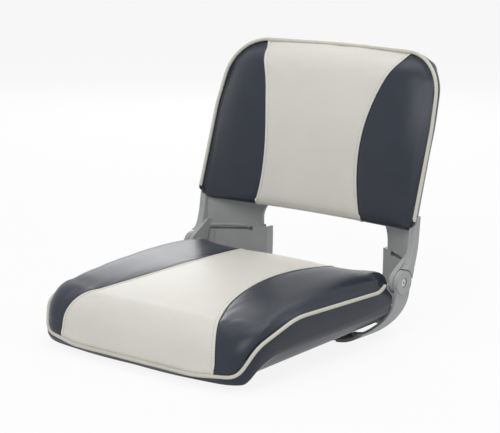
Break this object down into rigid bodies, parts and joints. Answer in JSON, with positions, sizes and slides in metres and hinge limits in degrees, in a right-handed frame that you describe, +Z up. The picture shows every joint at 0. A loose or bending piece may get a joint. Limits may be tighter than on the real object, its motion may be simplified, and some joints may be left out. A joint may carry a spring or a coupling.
{
  "type": "folding boat seat",
  "caption": "Moulded shell seat with a padded vinyl cushion, and a padded moulded back that folds forward over it on two side hinge pins; threaded inserts below for a pedestal.",
  "frame": {"origin": "centre of the four mounting inserts on the underside, on the plane that the seat rests on", "axes": "+Z up, +Y to the rear of the seat, +X to the right as seen from the front"},
  "size_m": [0.434, 0.5175, 0.427],
  "materials": {
    "grey_plastic": "satin, fine moulded grain",
    "ivory_vinyl": "satin, fine grain",
    "navy_vinyl": "satin, fine grain",
    "ivory_piping": "satin",
    "foam": "open-cell foam",
    "stainless_steel": "brushed",
    "brass": "machined",
    "white_nylon": "matte"
  },
  "bodies": {
    "seat": {"seat_shell": "grey_plastic", "seat_foam": "foam", "seat_middle_panel": "ivory_vinyl", "seat_side_panel_left": "navy_vinyl", "seat_side_panel_right": "navy_vinyl", "seat_gusset": "navy_vinyl", "seat_piping": "ivory_piping", "mounting_inserts": "brass", "hinge_pin_left": "stainless_steel", "hinge_pin_right": "stainless_steel", "hinge_nut_left": "stainless_steel", "hinge_nut_right": "stainless_steel", "hinge_washer_left": "white_nylon", "hinge_washer_right": "white_nylon"},
    "backrest": {"back_shell": "grey_plastic", "back_foam": "foam", "back_middle_panel": "ivory_vinyl", "back_side_panel_left": "navy_vinyl", "back_side_panel_right": "navy_vinyl", "back_rear_panel": "navy_vinyl", "back_piping": "ivory_piping", "hinge_bush_left": "white_nylon", "hinge_bush_right": "white_nylon"}
  },
  "joints": [
    {"name": "back_fold", "type": "hinge", "parent": "seat", "child": "backrest", "pos_m": [0, 0.18, 0.09], "axis": [1, 0, 0], "range_deg": [0, 96]}
  ]
}
